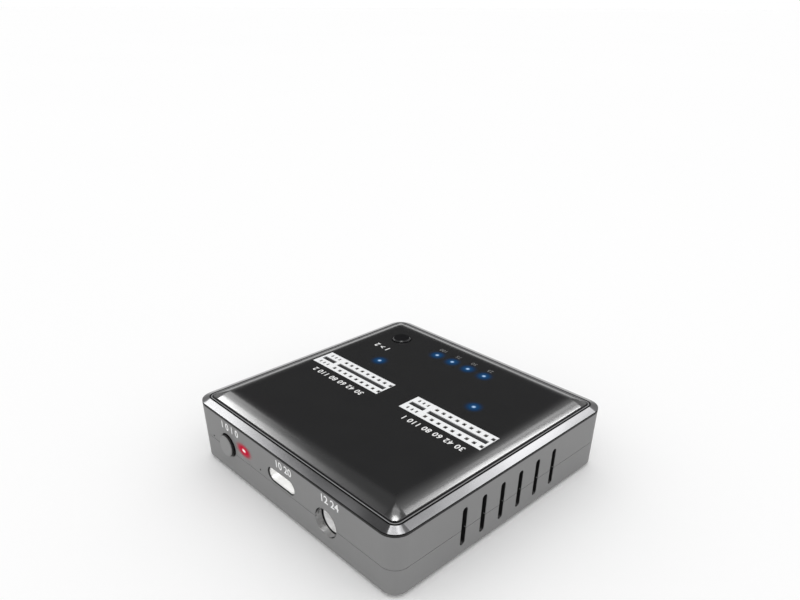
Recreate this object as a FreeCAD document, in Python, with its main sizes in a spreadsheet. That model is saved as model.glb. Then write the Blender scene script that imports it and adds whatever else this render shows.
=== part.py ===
import FreeCAD, Part
import Sketcher
import math
import os

# A small square desktop dock that copies one plug-in card drive onto another.
# Z points up from the plane the rubber feet stand on, and the origin is under the middle.
# The ports are in the +Y wall, the copy button is in the top by the -Y edge,
# and the cooling slots are in the -X and +X walls.

SIZES = {
    # Casing, measured over the top edge of its leaning walls
    "foot_stand": 0.8,
    "body_width": 66.0,
    "body_depth": 64.7,
    "shell_height": 13.65,
    "shell_lean": 0.76,
    "corner_radius": 3.75,
    "wall": 1.5,
    "floor": 1.5,
    "parting_height": 5.8,
    "lip_height": 0.9,
    "lip_gap": 0.1,
    "flange_width": 5.4,
    "flange_thick": 1.2,
    # Bright rim, its black bonding gasket and the gloss top
    "gasket_thick": 0.3,
    "gasket_setback": 0.12,
    "ring_slope": 1.7,
    "ring_height": 0.6,
    "groove_width": 0.3,
    "groove_depth": 0.3,
    "land_width": 0.25,
    "cover_gap": 0.35,
    "cover_edge": 0.7,
    "cover_height": 1.95,
    "cover_skin": 1.5,
    "pillow_width": 5.0,
    "reveal_height": 0.12,
    "reveal_depth": 0.35,
    # Two screws at opposite corners close the casing, each hidden under a foot
    "screw_inset": 5.4,
    "screw_radius": 1.25,
    "screw_length": 8.0,
    "screw_head_radius": 2.1,
    "screw_head_height": 1.3,
    "screw_seat_height": 2.3,
    "screw_facets": 12,
    "screw_play": 0.15,
    "pilot_play": 0.05,
    "boss_size": 5.2,
    "shelf_reach": 0.8,
    "foot_radius": 3.5,
    # Circuit board, clamped at its corners and propped up under the two sockets
    "board_stand": 2.3,
    "board_thick": 1.6,
    "board_gap": 0.5,
    "board_notch_play": 0.2,
    "post_length": 7.0,
    "post_width": 2.0,
    # Two upright card sockets
    "socket_pitch": 30.6,
    "socket_place_y": 0.45,
    "socket_length": 23.3,
    "socket_width": 6.1,
    "socket_play": 0.12,
    "socket_sink": 0.12,
    "card_slot_length": 22.2,
    "card_slot_width": 1.3,
    "card_slot_depth": 4.6,
    "key_place": 6.125,
    "key_width": 1.1,
    "window_row": 1.85,
    "window_width": 0.9,
    "window_depth": 0.95,
    "window_pitch": 1.97,
    "window_count": 9,
    "short_window_width": 0.55,
    "short_window_pitch": 1.35,
    "short_window_count": 3,
    "window_key_margin": 0.9,
    "contact_width": 0.4,
    "contact_thick": 0.3,
    "contact_drop": 1.0,
    # Cooling slots in both side walls
    "vent_count": 6,
    "vent_pitch": 5.6,
    "vent_width": 1.4,
    "vent_length": 9.0,
    "vent_height": 6.4,
    # Data port
    "usb_place_x": 0.8,
    "usb_height": 7.95,
    "usb_opening_play": 0.2,
    "usb_width": 8.94,
    "usb_tall": 3.16,
    "usb_skin": 0.3,
    "usb_play": 0.06,
    "usb_length": 7.3,
    "usb_sink": 0.4,
    "usb_tongue_width": 6.6,
    "usb_tongue_thick": 0.7,
    "usb_tongue_short": 1.1,
    "usb_back_block": 1.6,
    "usb_leg_width": 1.2,
    "usb_pin_count": 12,
    "usb_pin_pitch": 0.5,
    "usb_pin_width": 0.25,
    "usb_pin_thick": 0.06,
    "usb_pin_length": 3.6,
    # Barrel power inlet, sunk into a notch of the board
    "jack_from_side": 19.5,
    "jack_height": 5.9,
    "jack_opening_radius": 3.2,
    "jack_width": 9.0,
    "jack_tall": 7.4,
    "jack_length": 10.5,
    "jack_bore_radius": 2.95,
    "jack_bore_depth": 9.2,
    "jack_leaf_width": 1.6,
    "jack_leaf_thick": 0.3,
    "jack_leaf_lift": 0.25,
    "jack_pin_radius": 1.0,
    "jack_pin_short": 1.2,
    "jack_pin_nose": 0.6,
    "jack_wing": 1.3,
    "jack_wing_thick": 0.8,
    "jack_seat_gap": 0.1,
    # Power button and its switch
    "power_from_side": 12.3,
    "power_height": 7.0,
    "power_radius": 2.55,
    "power_play": 0.28,
    "power_stand": 0.85,
    "power_round": 0.3,
    "power_flange": 0.7,
    "power_flange_thick": 0.8,
    "power_flange_gap": 0.3,
    "power_plunger_width": 2.2,
    "power_plunger_tall": 1.4,
    "power_plunger_length": 3.4,
    "power_switch_width": 6.2,
    "power_switch_length": 4.6,
    "power_switch_tall": 3.3,
    "power_travel": 0.5,
    # Copy button, its long plunger and its switch
    "clone_from_side": 12.5,
    "clone_from_front": 11.85,
    "clone_radius": 2.35,
    "clone_play": 0.25,
    "clone_stand": 0.5,
    "clone_round": 0.3,
    "clone_flange": 0.9,
    "clone_flange_thick": 0.9,
    "clone_flange_gap": 0.3,
    "clone_stem_radius": 1.3,
    "clone_plunger_radius": 1.7,
    "clone_plunger_top": 5.8,
    "clone_plunger_reach": 1.1,
    "clone_switch_width": 6.0,
    "clone_switch_tall": 3.6,
    "clone_travel": 0.5,
    # Lamps and the clear pipes that carry their light out
    "lamp_from_front": 11.85,
    "lamp_pitch": 5.07,
    "lamp_count": 4,
    "socket_lamp_y": -8.05,
    "pipe_radius": 0.7,
    "pipe_play": 0.06,
    "pipe_size": 1.6,
    "pipe_lamp_gap": 0.25,
    "guide_bar_depth": 3.0,
    "guide_bar_thick": 1.4,
    "guide_bar_drop": 4.0,
    "lamp_length": 1.6,
    "lamp_width": 0.9,
    "lamp_tall": 0.6,
    "power_lamp_spacing": 6.55,
    "power_lamp_height": 8.7,
    "power_pipe_back": 5.0,
    # Chips and other parts on the board
    "bridge_size": 7.0,
    "bridge_gap": 0.9,
    "bridge_from_clone": 4.3,
    "controller_size": 10.0,
    "controller_place_x": -1.5,
    "controller_place_y": 13.2,
    "part_from_side": 9.0,
    "chip_thick": 0.9,
    "chip_lead": 0.12,
    "memory_length": 5.2,
    "memory_width": 5.3,
    "memory_place_x": -0.5,
    "memory_place_y": -6.6,
    "memory_thick": 1.7,
    "coil_size": 6.0,
    "coil_tall": 3.0,
    "coil_round": 1.0,
    "coil_place_y": 15.5,
    "coil_pitch": 7.0,
    "bulk_length": 7.3,
    "bulk_width": 4.3,
    "bulk_tall": 2.8,
    "bulk_from_side": 11.5,
    "bulk_place_y": 10.8,
    "bulk_pitch": 5.4,
    "crystal_length": 3.2,
    "crystal_width": 2.5,
    "crystal_tall": 0.8,
    "crystal_gap": 0.6,
    "crystal_from_bridge": 3.0,
    "regulator_size": 3.0,
    "regulator_gap": 0.6,
    "chip_cap_length": 1.6,
    "chip_cap_width": 0.8,
    "chip_cap_tall": 0.8,
    "chip_cap_count": 6,
    "chip_cap_pitch": 2.4,
    "chip_cap_row_y": 6.6,
}

doc = FreeCAD.newDocument("drive_duplicator")
sheet = doc.addObject("Spreadsheet::Sheet", "Sizes")
for row, (alias, number) in enumerate(SIZES.items(), start=1):
    sheet.set(f"A{row}", alias)
    sheet.set(f"B{row}", str(number))
    sheet.setAlias(f"B{row}", alias)
doc.recompute()


class Length:
    """A size that keeps its number together with the formula that ties it to the sheet."""

    def __init__(self, number, formula):
        self.number = number
        self.formula = formula

    @staticmethod
    def of(value):
        if isinstance(value, Length):
            return value
        return Length(float(value), f"{float(value)}")

    def __add__(self, other):
        other = Length.of(other)
        return Length(self.number + other.number, f"({self.formula} + {other.formula})")

    def __radd__(self, other):
        return Length.of(other) + self

    def __sub__(self, other):
        other = Length.of(other)
        return Length(self.number - other.number, f"({self.formula} - {other.formula})")

    def __rsub__(self, other):
        return Length.of(other) - self

    def __mul__(self, other):
        other = Length.of(other)
        return Length(self.number * other.number, f"({self.formula} * {other.formula})")

    def __rmul__(self, other):
        return Length.of(other) * self

    def __truediv__(self, other):
        other = Length.of(other)
        return Length(self.number / other.number, f"({self.formula} / {other.formula})")

    def __neg__(self):
        return 0 - self


class Sheet:
    """Reads a size from the sheet by its name."""

    def __getattr__(self, name):
        return Length(float(sheet.get(name)), f"Sizes.{name}")


s = Sheet()
zero = Length.of(0)

# Heights of the layers above the plane that the feet stand on
base_level = s.foot_stand
floor_level = base_level + s.floor
parting_level = base_level + s.parting_height
rim_level = base_level + s.shell_height
flange_level = rim_level - s.flange_thick
seat_level = rim_level + s.gasket_thick
land_level = seat_level + s.ring_height
cover_level = seat_level + s.cover_height
ceiling_level = cover_level - s.cover_skin
board_under = floor_level + s.board_stand
board_level = board_under + s.board_thick

# How far in from the casing's top edge the pieces of the rim lie
ring_inner = s.ring_slope + s.groove_width + s.land_width
cover_inset = ring_inner + s.cover_gap

# Places in plan: what sits by a wall is measured from that wall
side_wall = s.body_width / 2
front_wall = s.body_depth / 2
screw_x = side_wall - s.screw_inset
screw_y = front_wall - s.screw_inset
corners = [(sx, sy) for sx in (-1, 1) for sy in (-1, 1)]
screw_places = [(sign * screw_x, sign * screw_y) for sign in (-1, 1)]
socket_places = {"source": -s.socket_pitch / 2, "target": s.socket_pitch / 2}
jack_place_x = s.jack_from_side - side_wall
power_place_x = side_wall - s.power_from_side
power_lamp_x = power_place_x - s.power_lamp_spacing
clone_place_x = side_wall - s.clone_from_side
clone_place_y = s.clone_from_front - front_wall
lamp_place_y = s.lamp_from_front - front_wall
part_place_x = s.part_from_side - side_wall
bridge_place_x = clone_place_x - (s.clone_switch_width + s.bridge_size) / 2 - s.bridge_gap
bridge_place_y = clone_place_y + s.bridge_from_clone

parts = []


def lean(level):
    """How far the leaning walls have come in at a height, below the casing's top edge."""
    return s.shell_lean * (rim_level - level) / s.shell_height


def half_width(level):
    return s.body_width / 2 - lean(level)


def half_depth(level):
    return s.body_depth / 2 - lean(level)


def bind(thing, prop, length):
    thing.setExpression(prop, Length.of(length).formula)


def keep(thing, label):
    """Takes a finished sub-part into the list that is checked and written out."""
    thing.Label = label
    parts.append(thing)
    return thing


def place(thing, x=None, y=None, z=None):
    for axis, length in (("x", x), ("y", y), ("z", z)):
        if length is not None:
            bind(thing, f"Placement.Base.{axis}", length)
    return thing


# Sketches

def new_sketch(body, role="XY_Plane", offset=zero):
    plane = next(f for f in body.Origin.OriginFeatures if f.Role == role)
    sketch = body.newObject("Sketcher::SketchObject", "outline")
    sketch.AttachmentSupport = [(plane, "")]
    sketch.MapMode = "FlatFace"
    bind(sketch, "AttachmentOffset.Base.z", offset)
    return sketch


def wall_sketch(body, y):
    """A sketch facing the port wall, X across and Z up, standing at the given Y."""
    return new_sketch(body, "XZ_Plane", -y)


def hold(sketch, kind, *ends, value=None):
    """Adds a constraint, and ties its value to the sheet where it has one."""
    if value is None:
        sketch.addConstraint(Sketcher.Constraint(kind, *ends))
        return
    value = Length.of(value)
    index = sketch.addConstraint(Sketcher.Constraint(kind, *ends, value.number))
    bind(sketch, f"Constraints[{index}]", value)


def hold_point(sketch, shape, end, x, y):
    hold(sketch, "DistanceX", -1, 1, shape, end, value=x)
    hold(sketch, "DistanceY", -1, 1, shape, end, value=y)


def draw_line(sketch, start, end):
    points = [FreeCAD.Vector(Length.of(x).number, Length.of(y).number, 0) for x, y in (start, end)]
    return sketch.addGeometry(Part.LineSegment(*points), False)


def draw_polygon(sketch, corners):
    sides = [draw_line(sketch, a, b) for a, b in zip(corners, corners[1:] + corners[:1])]
    for side, after, (x, y) in zip(sides, sides[1:] + sides[:1], corners):
        hold(sketch, "Coincident", side, 2, after, 1)
        hold_point(sketch, side, 1, x, y)
    return sides


def draw_rectangle(sketch, width, depth, x=zero, y=zero):
    left, right, low, high = x - width / 2, x + width / 2, y - depth / 2, y + depth / 2
    return draw_polygon(sketch, [(left, low), (right, low), (right, high), (left, high)])


def draw_circle(sketch, radius, x=zero, y=zero):
    centre = FreeCAD.Vector(Length.of(x).number, Length.of(y).number, 0)
    circle = sketch.addGeometry(Part.Circle(centre, FreeCAD.Vector(0, 0, 1), radius.number), False)
    hold(sketch, "Radius", circle, value=radius)
    hold_point(sketch, circle, 3, x, y)
    return circle


def draw_rounded(sketch, width, depth, radius, x=zero, y=zero):
    """A rectangle with four equal round corners."""
    left, right, low, high = x - width / 2, x + width / 2, y - depth / 2, y + depth / 2
    bends = [(right - radius, low + radius), (right - radius, high - radius),
             (left + radius, high - radius), (left + radius, low + radius)]
    runs = [((left + radius, low), (right - radius, low)), ((right, low + radius), (right, high - radius)),
            ((right - radius, high), (left + radius, high)), ((left, high - radius), (left, low + radius))]
    chain = []
    for turn, (run, (bend_x, bend_y)) in enumerate(zip(runs, bends)):
        chain.append(draw_line(sketch, *run))
        centre = FreeCAD.Vector(bend_x.number, bend_y.number, 0)
        circle = Part.Circle(centre, FreeCAD.Vector(0, 0, 1), radius.number)
        start = math.radians(90 * turn - 90)
        chain.append(sketch.addGeometry(Part.ArcOfCircle(circle, start, start + math.pi / 2), False))
    for piece, after in zip(chain, chain[1:] + chain[:1]):
        hold(sketch, "Tangent", piece, 2, after, 1)
    for turn, kind in enumerate(("Horizontal", "Vertical", "Horizontal", "Vertical")):
        hold(sketch, kind, chain[2 * turn])
    for turn in (1, 2, 3):
        hold(sketch, "Equal", chain[1], chain[2 * turn + 1])
    hold(sketch, "Radius", chain[1], value=radius)
    hold(sketch, "DistanceY", -1, 1, chain[0], 1, value=low)
    hold(sketch, "DistanceX", -1, 1, chain[2], 1, value=right)
    hold(sketch, "DistanceY", -1, 1, chain[4], 1, value=high)
    hold(sketch, "DistanceX", -1, 1, chain[6], 1, value=left)
    return chain


def draw_stadium(sketch, length, width, x=zero, y=zero, upright=False):
    """A slot with round ends, lying along the sketch's X, or along its Y when upright."""
    reach, half = (length - width) / 2, width / 2
    if upright:
        ends = [(x, y - reach), (x, y + reach)]
        sides = [((x + half, y - reach), (x + half, y + reach)), ((x - half, y + reach), (x - half, y - reach))]
        start = math.pi
    else:
        ends = [(x - reach, y), (x + reach, y)]
        sides = [((x - reach, y - half), (x + reach, y - half)), ((x + reach, y + half), (x - reach, y + half))]
        start = math.pi / 2
    chain = []
    for turn, ((end_x, end_y), side) in enumerate(zip(ends, sides)):
        centre = FreeCAD.Vector(end_x.number, end_y.number, 0)
        circle = Part.Circle(centre, FreeCAD.Vector(0, 0, 1), half.number)
        angle = start + math.pi * turn
        chain.append(sketch.addGeometry(Part.ArcOfCircle(circle, angle, angle + math.pi), False))
        chain.append(draw_line(sketch, *side))
    for piece, after in zip(chain, chain[1:] + chain[:1]):
        hold(sketch, "Tangent", piece, 2, after, 1)
    hold(sketch, "Radius", chain[0], value=half)
    hold_point(sketch, chain[0], 3, *ends[0])
    hold_point(sketch, chain[2], 3, *ends[1])
    return chain


# Features of a body

def new_body(label):
    return keep(doc.addObject("PartDesign::Body", label), label)


def finish(body, feature):
    body.Tip = feature
    doc.recompute()
    return feature


def pad(body, sketch, length, reverse=False):
    feature = body.newObject("PartDesign::Pad", "pad")
    feature.Profile = sketch
    bind(feature, "Length", length)
    feature.Reversed = reverse
    return finish(body, feature)


def pocket(body, sketch, depth=None, reverse=False, both_ways=False):
    """Cuts a sketch into the body, right through where no depth is given."""
    before = body.Shape.Volume
    feature = body.newObject("PartDesign::Pocket", "pocket")
    feature.Profile = sketch
    feature.Reversed = reverse
    if both_ways:
        feature.SideType = "Symmetric"
    if depth is None:
        feature.Type = "ThroughAll"
    else:
        bind(feature, "Length", depth)
    finish(body, feature)
    if body.Shape.Volume >= before:
        raise ValueError(f"a pocket of {body.Label} cuts nothing")
    return feature


def loft(body, lower, upper, remove=False):
    kind = "PartDesign::SubtractiveLoft" if remove else "PartDesign::AdditiveLoft"
    feature = body.newObject(kind, "loft")
    feature.Profile = lower
    feature.Sections = [upper]
    feature.Ruled = True
    return finish(body, feature)


def row_of(body, original, axis, count, pitch):
    """Repeats a cut along one of the body's axes."""
    feature = body.newObject("PartDesign::LinearPattern", "row")
    feature.Originals = [original]
    feature.Direction = (next(f for f in body.Origin.OriginFeatures if f.Role == axis), [""])
    bind(feature, "Length", (count - 1) * pitch)
    bind(feature, "Occurrences", count)
    return finish(body, feature)


def revolve(body, outline):
    """Turns a half outline, given as radius and height, about the body's own Z axis."""
    sketch = new_sketch(body, "XZ_Plane")
    draw_polygon(sketch, outline)
    feature = body.newObject("PartDesign::Revolution", "turned")
    feature.Profile = sketch
    feature.ReferenceAxis = (sketch, ["V_Axis"])
    feature.Angle = 360
    return finish(body, feature)


# Plain solids

def box(width, depth, tall, x, y, z):
    """A block centred on x and y that stands on z."""
    block = doc.addObject("Part::Box", "block")
    bind(block, "Length", width)
    bind(block, "Width", depth)
    bind(block, "Height", tall)
    return place(block, x - Length.of(width) / 2, y - Length.of(depth) / 2, z)


def rod(radius, length, x, y, z, along="Z"):
    """A cylinder that starts at x, y, z and runs along an axis, minus signs included."""
    cylinder = doc.addObject("Part::Cylinder", "rod")
    bind(cylinder, "Radius", radius)
    bind(cylinder, "Height", length)
    turn_x = {"Z": 0, "-Z": 180, "Y": -90, "-Y": 90}[along]
    cylinder.Placement = FreeCAD.Placement(FreeCAD.Vector(), FreeCAD.Rotation(FreeCAD.Vector(1, 0, 0), turn_x))
    return place(cylinder, x, y, z)


def fused(*solids):
    union = doc.addObject("Part::MultiFuse", "joined")
    union.Shapes = list(solids)
    return union


def cut(solid, tool):
    difference = doc.addObject("Part::Cut", "trimmed")
    difference.Base = solid
    difference.Tool = tool
    return difference


def group(label, solids):
    """Like pieces that share one node and stay separate solids."""
    compound = doc.addObject("Part::Compound", label)
    compound.Links = list(solids)
    return keep(compound, label)


# Cuts that the two casing shells share, because the parting line runs through them

def draw_shell(sketch, level, inset):
    """The casing's outline at a height, drawn in by an inset; all corners share their centres."""
    draw_rounded(sketch, 2 * (half_width(level) - inset), 2 * (half_depth(level) - inset),
                 s.corner_radius - lean(level) - inset)


def shell_outline(body, level, inset):
    sketch = new_sketch(body, offset=level)
    draw_shell(sketch, level, inset)
    return sketch


def rim_outline(sketch, inset):
    draw_rounded(sketch, s.body_width - 2 * inset, s.body_depth - 2 * inset, s.corner_radius - inset)


def cut_vents(body):
    sketch = new_sketch(body, "YZ_Plane")
    first = -(s.vent_count - 1) * s.vent_pitch / 2
    draw_stadium(sketch, s.vent_length, s.vent_width, first, base_level + s.vent_height, upright=True)
    slot = pocket(body, sketch, both_ways=True)
    row_of(body, slot, "Y_Axis", s.vent_count, s.vent_pitch)


def cut_wall_hole(body, draw):
    """Cuts an opening through the port wall only, from a sketch that stands inside it."""
    sketch = wall_sketch(body, s.body_depth / 2 - s.flange_width)
    draw(sketch)
    pocket(body, sketch)


def jack_opening(sketch):
    draw_circle(sketch, s.jack_opening_radius, jack_place_x, base_level + s.jack_height)


def power_opening(sketch):
    draw_circle(sketch, s.power_radius + s.power_play, power_place_x, base_level + s.power_height)


def usb_opening(sketch):
    draw_stadium(sketch, s.usb_width + 2 * s.usb_opening_play, s.usb_tall + 2 * s.usb_opening_play,
                 s.usb_place_x, base_level + s.usb_height)


def lamp_opening(sketch):
    draw_circle(sketch, s.pipe_radius + s.pipe_play, power_lamp_x, base_level + s.power_lamp_height)


def corner_blocks(sketch, inward, outward=zero):
    """A block at each corner, from the boss's outer faces to some way inside it or past it."""
    near, far = s.boss_size / 2 + inward, s.boss_size / 2 + outward
    for sx, sy in corners:
        draw_rectangle(sketch, near + far, near + far, sx * (screw_x + (far - near) / 2),
                       sy * (screw_y + (far - near) / 2))


# Lower casing: a tray with leaning walls, a lip that enters the upper casing, hollow screw bosses

def make_base_cover():
    body = new_body("base_cover")
    loft(body, shell_outline(body, base_level, zero), shell_outline(body, parting_level, zero))
    loft(body, shell_outline(body, floor_level, s.wall), shell_outline(body, parting_level, s.wall), remove=True)

    lip = shell_outline(body, parting_level, s.wall / 2 + s.lip_gap)
    draw_shell(lip, parting_level, s.wall)
    pad(body, lip, s.lip_height)

    reveal = shell_outline(body, parting_level, -s.reveal_depth)
    draw_shell(reveal, parting_level, s.reveal_depth)
    pocket(body, reveal, s.reveal_height)

    bosses = new_sketch(body, offset=floor_level)
    corner_blocks(bosses, s.shelf_reach)
    for x in socket_places.values():
        draw_rectangle(bosses, s.post_length, s.post_width, x, s.socket_place_y)
    pad(body, bosses, s.board_stand)

    for radius, depth in ((s.screw_head_radius + s.screw_play, s.screw_seat_height),
                          (s.screw_radius + s.screw_play, None)):
        holes = new_sketch(body, offset=base_level)
        for x, y in screw_places:
            draw_circle(holes, radius, x, y)
        pocket(body, holes, depth, reverse=True)

    cut_wall_hole(body, jack_opening)
    cut_wall_hole(body, power_opening)
    cut_wall_hole(body, usb_opening)
    cut_vents(body)


# Upper casing: leaning walls, an inward flange that carries the rim and the top, four screw pillars

def make_housing():
    body = new_body("housing")
    loft(body, shell_outline(body, parting_level, zero), shell_outline(body, rim_level, zero))
    loft(body, shell_outline(body, parting_level, s.wall), shell_outline(body, flange_level, s.wall), remove=True)

    window = new_sketch(body, offset=rim_level)
    draw_rectangle(window, s.body_width - 2 * s.flange_width, s.body_depth - 2 * s.flange_width)
    pocket(body, window, s.flange_thick)

    rebate = shell_outline(body, parting_level, s.wall / 2)
    pocket(body, rebate, s.lip_height + s.lip_gap, reverse=True)

    for level, inward in ((board_level, s.shelf_reach), (board_under, zero)):
        pillars = new_sketch(body, offset=level)
        corner_blocks(pillars, inward)
        pad(body, pillars, flange_level - level + s.flange_thick / 2)

    pilots = new_sketch(body, offset=board_under)
    for x, y in screw_places:
        draw_circle(pilots, s.screw_radius + s.pilot_play, x, y)
    screw_top = base_level + s.screw_seat_height + s.screw_length
    pocket(body, pilots, screw_top - board_under + s.screw_play, reverse=True)

    for opening in (jack_opening, power_opening, usb_opening, lamp_opening):
        cut_wall_hole(body, opening)
    cut_vents(body)


# Rim: a black bonding gasket, and a bright bevelled frame with a fine groove along its inner land

def make_rim():
    gasket = new_body("rim_gasket")
    sheet_outline = new_sketch(gasket, offset=rim_level)
    rim_outline(sheet_outline, s.gasket_setback)
    draw_rectangle(sheet_outline, s.body_width - 2 * s.flange_width, s.body_depth - 2 * s.flange_width)
    pad(gasket, sheet_outline, s.gasket_thick)

    ring = new_body("trim_ring")
    lower = new_sketch(ring, offset=seat_level)
    rim_outline(lower, zero)
    upper = new_sketch(ring, offset=land_level)
    rim_outline(upper, s.ring_slope)
    loft(ring, lower, upper)
    opening = new_sketch(ring, offset=land_level)
    rim_outline(opening, ring_inner)
    pocket(ring, opening)
    groove = new_sketch(ring, offset=land_level)
    rim_outline(groove, s.ring_slope)
    rim_outline(groove, s.ring_slope + s.groove_width)
    pocket(ring, groove, s.groove_depth)


# Top cover: a plate whose border falls away in a soft arc on all four sides

def draw_border(sketch, half):
    """The two areas above the falling border, left and right of the middle."""
    edge_level = seat_level + s.cover_edge
    clear = s.cover_gap
    for side in (-1, 1):
        edge = (side * half, edge_level)
        crest = (side * (half - s.pillow_width), cover_level)
        outer = [crest, (side * (half - s.pillow_width), cover_level + clear),
                 (side * (half + clear), cover_level + clear), (side * (half + clear), edge_level), edge]
        lines = [draw_line(sketch, a, b) for a, b in zip(outer, outer[1:])]
        for line, (x, y) in zip(lines, outer):
            hold_point(sketch, line, 1, x, y)
        for line, after in zip(lines, lines[1:]):
            hold(sketch, "Coincident", line, 2, after, 1)
        hold_point(sketch, lines[-1], 2, *edge)
        drop = (cover_level - edge_level).number
        run = s.pillow_width.number
        radius = (run ** 2 + drop ** 2) / (2 * drop)
        centre = FreeCAD.Vector(crest[0].number, cover_level.number - radius, 0)
        circle = Part.Circle(centre, FreeCAD.Vector(0, 0, 1), radius)
        sweep = math.asin(run / radius)
        start, end = (math.pi / 2 - sweep, math.pi / 2) if side > 0 else (math.pi / 2, math.pi / 2 + sweep)
        arc = sketch.addGeometry(Part.ArcOfCircle(circle, start, end), False)
        crest_end, edge_end = (2, 1) if side > 0 else (1, 2)
        hold(sketch, "Coincident", arc, crest_end, lines[0], 1)
        hold(sketch, "Coincident", arc, edge_end, lines[-1], 2)
        hold(sketch, "DistanceX", -1, 1, arc, 3, value=crest[0])


def make_top_cover():
    body = new_body("top_cover")
    outline = new_sketch(body, offset=seat_level)
    rim_outline(outline, cover_inset)
    pad(body, outline, s.cover_height)
    for role, half in (("XZ_Plane", s.body_width / 2 - cover_inset), ("YZ_Plane", s.body_depth / 2 - cover_inset)):
        border = new_sketch(body, role)
        draw_border(border, half)
        pocket(body, border, both_ways=True)

    hollow = new_sketch(body, offset=seat_level)
    draw_rectangle(hollow, s.body_width - 2 * s.flange_width, s.body_depth - 2 * s.flange_width)
    pocket(body, hollow, s.cover_height - s.cover_skin, reverse=True)

    windows = new_sketch(body, offset=cover_level)
    for x in socket_places.values():
        draw_rectangle(windows, s.socket_length + 2 * s.socket_play, s.socket_width + 2 * s.socket_play,
                       x, s.socket_place_y)
    draw_circle(windows, s.clone_radius + s.clone_play, clone_place_x, clone_place_y)
    pocket(body, windows)


# Rubber feet, cut from sheet and bonded to the bottom over the screw heads

def make_feet():
    for (sx, sy), end in zip(corners, ("front_left", "rear_left", "front_right", "rear_right")):
        foot = new_body(f"foot_{end}")
        outline = new_sketch(foot)
        draw_circle(outline, s.foot_radius)
        pad(foot, outline, s.foot_stand)
        place(foot, sx * screw_x, sy * screw_y)


# Screws: a head with a cross recess, and a shank, both drawn with flat facets

def faceted_rod(radius, length, x, y, z):
    prism = doc.addObject("Part::Prism", "faceted")
    bind(prism, "Polygon", s.screw_facets)
    bind(prism, "Circumradius", radius)
    bind(prism, "Height", length)
    return place(prism, x, y, z)


def make_screw(x, y, seat):
    low = seat - s.screw_head_height
    shank = faceted_rod(s.screw_radius, s.screw_length, x, y, seat)
    head = faceted_rod(s.screw_head_radius, s.screw_head_height, x, y, low)
    long, wide, deep = s.screw_head_radius, s.screw_head_radius / 4, s.screw_head_height / 2
    return cut(fused(shank, head), fused(box(long, wide, deep, x, y, low), box(wide, long, deep, x, y, low)))


def make_screws():
    seat = base_level + s.screw_seat_height
    group("case_screws", [make_screw(x, y, seat) for x, y in screw_places])


# Circuit board: clamped at its notched corners, and cut away for the inlet and the button

jack_front = half_depth(base_level + s.jack_height - s.jack_tall / 2) - s.wall - s.jack_seat_gap
jack_back = jack_front - s.jack_length
flange_reach = s.power_radius + s.power_flange
power_flange_face = half_depth(base_level + s.power_height - flange_reach) - s.wall - s.power_flange_gap
power_flange_back = power_flange_face - s.power_flange_thick


def make_board():
    body = new_body("main_board")
    inset = s.wall + s.board_gap
    outline = new_sketch(body, offset=board_under)
    draw_rectangle(outline, 2 * (half_width(board_under) - inset), 2 * (half_depth(board_under) - inset))
    pad(body, outline, s.board_thick)

    notches = new_sketch(body, offset=board_level)
    corner_blocks(notches, s.board_notch_play, s.corner_radius)
    past_edge = s.body_depth / 2
    jack_notch = jack_back - s.board_gap / 2
    draw_rectangle(notches, s.jack_width + s.board_gap, past_edge - jack_notch,
                   jack_place_x, (past_edge + jack_notch) / 2)
    power_notch = power_flange_back - s.power_travel - s.board_gap
    draw_rectangle(notches, 2 * (flange_reach + s.board_gap), past_edge - power_notch,
                   power_place_x, (past_edge + power_notch) / 2)
    pocket(body, notches)


# Card sockets: a tall insulator with a keyed slot between two rows of contact windows

socket_tall = cover_level - s.socket_sink - board_level
first_window = s.key_place - s.key_width / 2 - s.window_key_margin
first_short = s.key_place + s.key_width / 2 + s.window_key_margin - s.short_window_width / 2
rows = (-s.window_row, s.window_row)


def make_socket(side):
    body = new_body(f"{side}_socket")
    block = new_sketch(body)
    draw_rectangle(block, s.socket_length, s.socket_width)
    pad(body, block, socket_tall)

    slot = new_sketch(body, offset=socket_tall)
    end = s.card_slot_length / 2
    for low, high in ((-end, s.key_place - s.key_width / 2), (s.key_place + s.key_width / 2, end)):
        draw_rectangle(slot, high - low, s.card_slot_width, (low + high) / 2)
    pocket(body, slot, s.card_slot_depth)

    for first, width, pitch, count in ((first_window, s.window_width, -s.window_pitch, s.window_count),
                                       (first_short, s.short_window_width, s.short_window_pitch,
                                        s.short_window_count)):
        window = new_sketch(body, offset=socket_tall)
        last = first + (count - 1) * pitch
        start = first if pitch.number > 0 else last
        for row in rows:
            draw_rectangle(window, width, s.window_depth, start, row)
        hole = pocket(body, window)
        row_of(body, hole, "X_Axis", count, pitch if pitch.number > 0 else -pitch)
    place(body, socket_places[side], s.socket_place_y, board_level)


def make_contacts(side):
    strips = []
    places = [first_window - k * s.window_pitch for k in range(int(s.window_count.number))]
    places += [first_short + k * s.short_window_pitch for k in range(int(s.short_window_count.number))]
    for x in places:
        for row in rows:
            strips.append(box(s.contact_width, s.contact_thick, socket_tall - s.contact_drop,
                              socket_places[side] + x, s.socket_place_y + row, board_level))
    group(f"{side}_contacts", strips)


# Data port: a seamed steel shell on four legs round an insulator with a contact tongue

usb_middle = base_level + s.usb_height
usb_front = half_depth(usb_middle) - s.usb_sink
usb_back = usb_front - s.usb_length


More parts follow.
